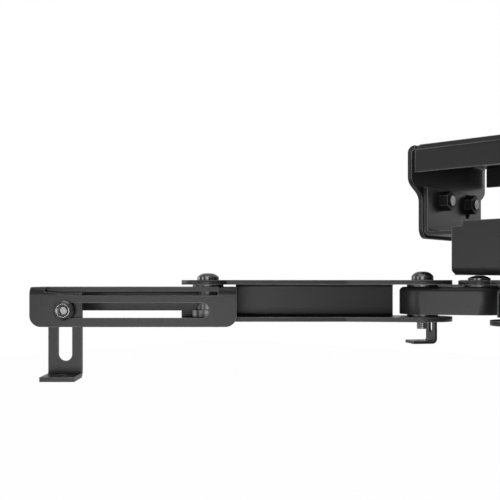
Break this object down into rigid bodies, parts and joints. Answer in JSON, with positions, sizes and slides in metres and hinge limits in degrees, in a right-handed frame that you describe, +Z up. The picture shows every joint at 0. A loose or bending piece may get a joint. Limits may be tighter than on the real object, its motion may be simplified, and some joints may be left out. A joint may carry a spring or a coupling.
{
  "type": "projector ceiling mount",
  "caption": "Folded steel ceiling bracket with tilt, roll and swivel, and jointed arms that end in sliding slotted feet for a projector.",
  "frame": {"origin": "centre of the ceiling bolt pattern, on the face that lies on the ceiling", "axes": "+Z up into the ceiling, +X along the front lip, -Y to the front"},
  "size_m": [0.4534, 0.4026, 0.1262],
  "materials": {
    "black_powder_coat": "fine matt texture",
    "fastener_black": "satin black oxide",
    "zinc_steel": "satin black",
    "nylon": "matt black nylon"
  },
  "bodies": {
    "ceiling": {"ceiling_bracket": "black_powder_coat", "tilt_pivot_bolts": "fastener_black", "tilt_lock_bolts": "fastener_black", "tilt_nuts": "fastener_black"},
    "tilt": {"tilt_bracket": "black_powder_coat", "roll_pivot_bolts": "fastener_black", "roll_lock_bolts": "fastener_black", "roll_nuts": "fastener_black"},
    "roll": {"roll_bracket": "black_powder_coat", "swivel_bolt": "fastener_black", "swivel_nut": "fastener_black", "swivel_washer": "nylon"},
    "hub": {"hub_plate": "black_powder_coat", "link_pivot_screws": "fastener_black", "link_pivot_nuts": "fastener_black", "link_pivot_washers": "nylon"},
    "front_left_link": {"front_left_link": "black_powder_coat"},
    "front_left_fork": {"front_left_fork": "black_powder_coat", "front_left_fork_bolts": "fastener_black", "front_left_fork_bushes": "zinc_steel", "front_left_fork_washers": "nylon"},
    "front_left_channel": {"front_left_end_channel": "black_powder_coat"},
    "front_left_carriage": {"front_left_foot_screw": "fastener_black", "front_left_foot_nut": "fastener_black"},
    "front_left_foot": {"front_left_foot": "black_powder_coat"},
    "rear_right_link": {"rear_right_link": "black_powder_coat"},
    "rear_right_fork": {"rear_right_fork": "black_powder_coat", "rear_right_fork_bolts": "fastener_black", "rear_right_fork_bushes": "zinc_steel", "rear_right_fork_washers": "nylon"},
    "rear_right_channel": {"rear_right_end_channel": "black_powder_coat"},
    "rear_right_carriage": {"rear_right_foot_screw": "fastener_black", "rear_right_foot_nut": "fastener_black"},
    "rear_right_foot": {"rear_right_foot": "black_powder_coat"},
    "rear_left_link": {"rear_left_link": "black_powder_coat"},
    "rear_left_fork": {"rear_left_fork": "black_powder_coat", "rear_left_fork_bolts": "fastener_black", "rear_left_fork_bushes": "zinc_steel", "rear_left_fork_washers": "nylon"},
    "rear_left_channel": {"rear_left_end_channel": "black_powder_coat"},
    "rear_left_carriage": {"rear_left_foot_screw": "fastener_black", "rear_left_foot_nut": "fastener_black"},
    "rear_left_foot": {"rear_left_foot": "black_powder_coat"},
    "front_right_link": {"front_right_link": "black_powder_coat"},
    "front_right_fork": {"front_right_fork": "black_powder_coat", "front_right_fork_bolts": "fastener_black", "front_right_fork_bushes": "zinc_steel", "front_right_fork_washers": "nylon"},
    "front_right_channel": {"front_right_end_channel": "black_powder_coat"},
    "front_right_carriage": {"front_right_foot_screw": "fastener_black", "front_right_foot_nut": "fastener_black"},
    "front_right_foot": {"front_right_foot": "black_powder_coat"}
  },
  "joints": [
    {"name": "tilt", "type": "hinge", "parent": "ceiling", "child": "tilt", "pos_m": [0, -0.016, -0.0286], "axis": [1, 0, 0], "range_deg": [-8, 8]},
    {"name": "roll", "type": "hinge", "parent": "tilt", "child": "roll", "pos_m": [0, 0, -0.056], "axis": [0, 1, 0], "range_deg": [-8, 8]},
    {"name": "swivel", "type": "hinge", "parent": "roll", "child": "hub", "pos_m": [0, 0, -0.075], "axis": [0, 0, 1], "range_deg": [-25, 25]},
    {"name": "front_left_link_swing", "type": "hinge", "parent": "hub", "child": "front_left_link", "pos_m": [-0.027, -0.033, -0.085], "axis": [0, 0, 1], "range_deg": [-10, 30]},
    {"name": "front_left_fork_swing", "type": "hinge", "parent": "front_left_link", "child": "front_left_fork", "pos_m": [-0.05464, -0.04467, -0.085], "axis": [0, 0, 1], "range_deg": [-45, 20]},
    {"name": "front_left_channel_swing", "type": "hinge", "parent": "front_left_fork", "child": "front_left_channel", "pos_m": [-0.14423, -0.12147, -0.085], "axis": [0, 0, 1], "range_deg": [-45, 15]},
    {"name": "front_left_foot_along", "type": "slide", "parent": "front_left_channel", "child": "front_left_carriage", "axis": [-0.7593, -0.6508, 0], "range_m": [-0.0553, 0.0008]},
    {"name": "front_left_foot_height", "type": "slide", "parent": "front_left_carriage", "child": "front_left_foot", "axis": [0, 0, 1], "range_m": [-0.0025, 0.018]},
    {"name": "rear_right_link_swing", "type": "hinge", "parent": "hub", "child": "rear_right_link", "pos_m": [0.027, 0.033, -0.085], "axis": [0, 0, 1], "range_deg": [-10, 30]},
    {"name": "rear_right_fork_swing", "type": "hinge", "parent": "rear_right_link", "child": "rear_right_fork", "pos_m": [0.05464, 0.04467, -0.085], "axis": [0, 0, 1], "range_deg": [-45, 20]},
    {"name": "rear_right_channel_swing", "type": "hinge", "parent": "rear_right_fork", "child": "rear_right_channel", "pos_m": [0.14423, 0.12147, -0.085], "axis": [0, 0, 1], "range_deg": [-45, 15]},
    {"name": "rear_right_foot_along", "type": "slide", "parent": "rear_right_channel", "child": "rear_right_carriage", "axis": [0.7593, 0.6508, 0], "range_m": [-0.0553, 0.0008]},
    {"name": "rear_right_foot_height", "type": "slide", "parent": "rear_right_carriage", "child": "rear_right_foot", "axis": [0, 0, 1], "range_m": [-0.0025, 0.018]},
    {"name": "rear_left_link_swing", "type": "hinge", "parent": "hub", "child": "rear_left_link", "pos_m": [-0.027, 0.033, -0.085], "axis": [0, 0, 1], "range_deg": [-10, 30]},
    {"name": "rear_left_fork_swing", "type": "hinge", "parent": "rear_left_link", "child": "rear_left_fork", "pos_m": [-0.00557, 0.05399, -0.085], "axis": [0, 0, 1], "range_deg": [-45, 20]},
    {"name": "rear_left_channel_swing", "type": "hinge", "parent": "rear_left_fork", "child": "rear_left_channel", "pos_m": [-0.09855, 0.12664, -0.085], "axis": [0, 0, 1], "range_deg": [-45, 15]},
    {"name": "rear_left_foot_along", "type": "slide", "parent": "rear_left_channel", "child": "rear_left_carriage", "axis": [-0.766, 0.6428, 0], "range_m": [-0.04, 0.0161]},
    {"name": "rear_left_foot_height", "type": "slide", "parent": "rear_left_carriage", "child": "rear_left_foot", "axis": [0, 0, 1], "range_m": [-0.0025, 0.018]},
    {"name": "front_right_link_swing", "type": "hinge", "parent": "hub", "child": "front_right_link", "pos_m": [0.027, -0.033, -0.085], "axis": [0, 0, 1], "range_deg": [-10, 30]},
    {"name": "front_right_fork_swing", "type": "hinge", "parent": "front_right_link", "child": "front_right_fork", "pos_m": [0.00557, -0.05399, -0.085], "axis": [0, 0, 1], "range_deg": [-45, 20]},
    {"name": "front_right_channel_swing", "type": "hinge", "parent": "front_right_fork", "child": "front_right_channel", "pos_m": [0.09855, -0.12664, -0.085], "axis": [0, 0, 1], "range_deg": [-45, 15]},
    {"name": "front_right_foot_along", "type": "slide", "parent": "front_right_channel", "child": "front_right_carriage", "axis": [0.766, -0.6428, 0], "range_m": [-0.04, 0.0161]},
    {"name": "front_right_foot_height", "type": "slide", "parent": "front_right_carriage", "child": "front_right_foot", "axis": [0, 0, 1], "range_m": [-0.0025, 0.018]}
  ]
}
